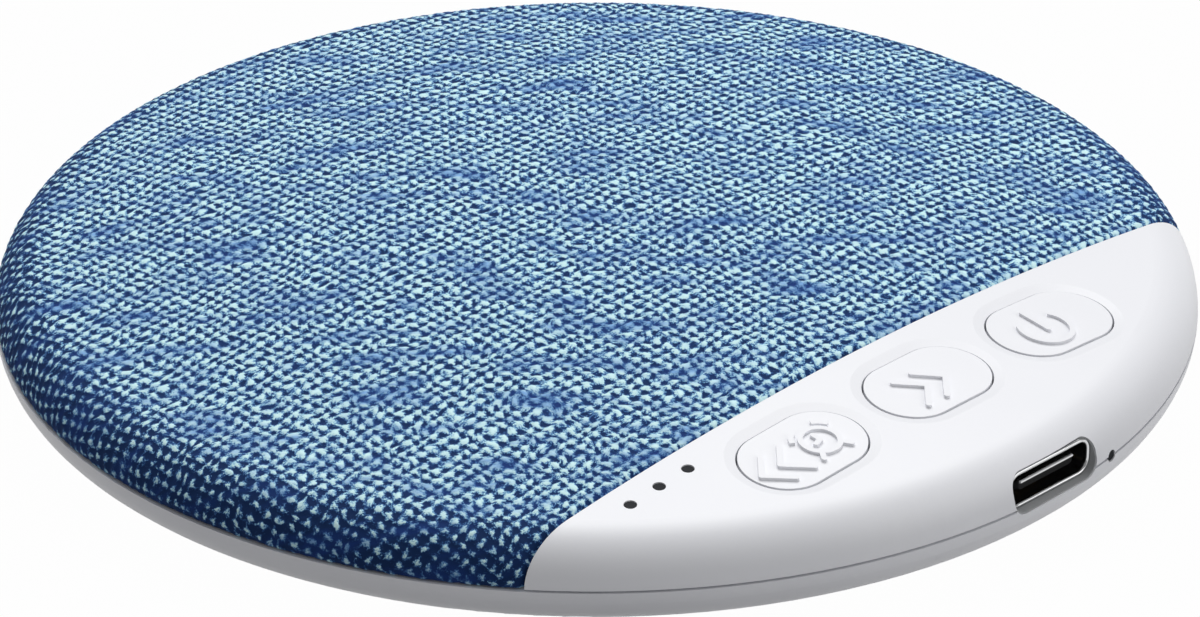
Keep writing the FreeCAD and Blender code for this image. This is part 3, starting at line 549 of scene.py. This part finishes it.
tongue_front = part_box("usb_tongue")[0][1] / mm
small_corner_points = 5
tip_width = 6.69
tip_thickness = 0.7
tip_corner = 0.3
tip_slope = 0.45
tip_overlap = 0.1
tip_rings = []
for y, shrink in ((tongue_front + tip_overlap, 0.0), (port_mouth + tip_slope, 0.0), (port_mouth, tip_slope)):
    ring = stadium_ring(tip_width - 2 * shrink, tip_thickness, tip_corner, small_corner_points)
    tip_rings.append([(port_x + x, y, port_z + z) for x, z in ring])
tongue_tip = ring_mesh("tongue_tip", tip_rings, False)
edge_width = tip_width - 2 * tip_slope
edge_height = 0.26
edge_depth = 0.16
edge_corner = 0.1
edge_bevel = 0.06
edge_shoulder = 0.05
edge_sink = 0.02
edge_z = port_z + tip_thickness / 2 - edge_sink
edge_rings = []
for forward, shrink in ((-edge_depth, 0.0), (edge_shoulder, 0.0), (edge_depth, edge_bevel)):
    ring = stadium_ring(edge_width - 2 * shrink, edge_height - 2 * shrink, edge_corner - shrink,
                        small_corner_points)
    edge_rings.append([(port_x + x, port_mouth - forward, edge_z + z) for x, z in ring])
tongue_edge = ring_mesh("tongue_edge", edge_rings, False)
tip_plastic = speckled("moulded_lcp_black", "#0C0C0E", "#131315", 0.6667, Roughness=0.6,
                       Specular_IOR_Level=0.15)
add_piece(tongue_tip, tip_plastic)
tin = speckled("tin_plated_steel", "#C9CACB", "#D8D9DA", 1.429, Metallic=1.0, Roughness=0.22)
add_piece(tongue_edge, tin)
add_piece(port_rim, tin)
dress(tin, "usb_shell")
contact_gold = speckled("gold_flash_plating", "#D9B35A", "#E6C67A", 1.111, Metallic=1.0, Roughness=0.25)
dress(contact_gold, "usb_contacts")


# Screws, magnet circuit and battery: turned and pressed metals, duller than the port.
# Fine clouding in the plating keeps the flats from looking like one sheet of colour.
zinc = speckled("zinc_plated_steel", "#A9ABAD", "#B9BBBD", 2.5, Metallic=1.0, Roughness=0.36)
dress(zinc, "case_screws", "board_screws", "speaker_yoke", "speaker_top_plate")
black_zinc = speckled("black_zinc_steel", "#1C1D1F", "#242527", 3.333, Metallic=0.6, Roughness=0.45)
dress(black_zinc, "speaker_basket")
nickel = speckled("nickel_plating", "#B9B2A6", "#C6C0B5", 2.0, Metallic=1.0, Roughness=0.28)
dress(nickel, "speaker_magnet", "crystal")
foil = speckled("battery_foil_laminate", "#B4B6B8", "#C8CACC", 8.333, Metallic=0.8, Roughness=0.4)
dress(foil, "battery")
enamelled_wire = speckled("enamelled_copper_wire", "#A8532A", "#BC6636", 0.6667, Metallic=0.8, Roughness=0.35)
dress(enamelled_wire, "voice_coil")


# Rubber, foam and the cone: dull dark soft parts. The feet are moulded silicone with a
# matt skin, the surround is thinner, and the foam has open pores.
silicone = speckled("moulded_silicone_rubber", "#17181A", "#202124", 1.25, Roughness=0.72)
dress(silicone, "surround", *[name for name in nodes if name.startswith("foot_")])
foam = speckled("open_cell_foam", "#1A1A1C", "#303033", 0.4545, Roughness=0.95)
dress(foam, "battery_pad", "speaker_gasket")
cone_film = speckled("pressed_pet_film", "#26272A", "#2E2F33", 3.333, Roughness=0.38)
dress(cone_film, "diaphragm")


# Electronics: solder mask on glass epoxy, epoxy moulded chips with a matt skin, nylon
# connectors, ceramic capacitors and silicone insulated leads.
epoxy_board = speckled("solder_mask_green", "#0B4A2A", "#0F5632", 4.0, Roughness=0.3)
dress(epoxy_board, "main_board", "speaker_terminals")
chip_epoxy = speckled("moulded_epoxy_black", "#141416", "#1D1D20", 0.6667, Roughness=0.55)
dress(chip_epoxy, "usb_tongue", "sound_chip", "memory_chip", "amplifier_chip", "charger_chip", "inductor",
      "chip_resistors", *[name for name in nodes if name.endswith("_switch")])
nylon = speckled("natural_nylon", "#DDD6C2", "#E6E0CE", 1.667, Roughness=0.5)
dress(nylon, "battery_connector", "speaker_connector",
      *[name for name in nodes if name.endswith("_switch_button")])
ceramic = speckled("fired_ceramic_tan", "#9A7B5C", "#A88A6A", 0.5556, Roughness=0.6)
dress(ceramic, "chip_capacitors")
red_silicone = speckled("red_silicone_insulation", "#A31414", "#B41C1C", 1.429, Roughness=0.5)
dress(red_silicone, "battery_lead_red", "speaker_lead_red")
black_silicone = speckled("black_silicone_insulation", "#101012", "#18181A", 1.429, Roughness=0.5)
dress(black_silicone, "battery_lead_black", "speaker_lead_black")
light_chip = speckled("phosphor_light_chip", "#E8DFA8", "#F2EBC0", 0.8333, Roughness=0.4)
dress(light_chip, "charge_led", *[name for name in nodes if name.startswith("timer_led")])


# Timer windows and the end of the light pipe: smoked polycarbonate with a fine matt
# moulded face, dark while the lights behind are off.
smoked = speckled("smoked_polycarbonate", "#17191E", "#1E2026", 2.0, Roughness=0.6, Specular_IOR_Level=0.15)
dress(smoked, "charge_light_pipe", *[name for name in nodes if name.startswith("timer_window")])
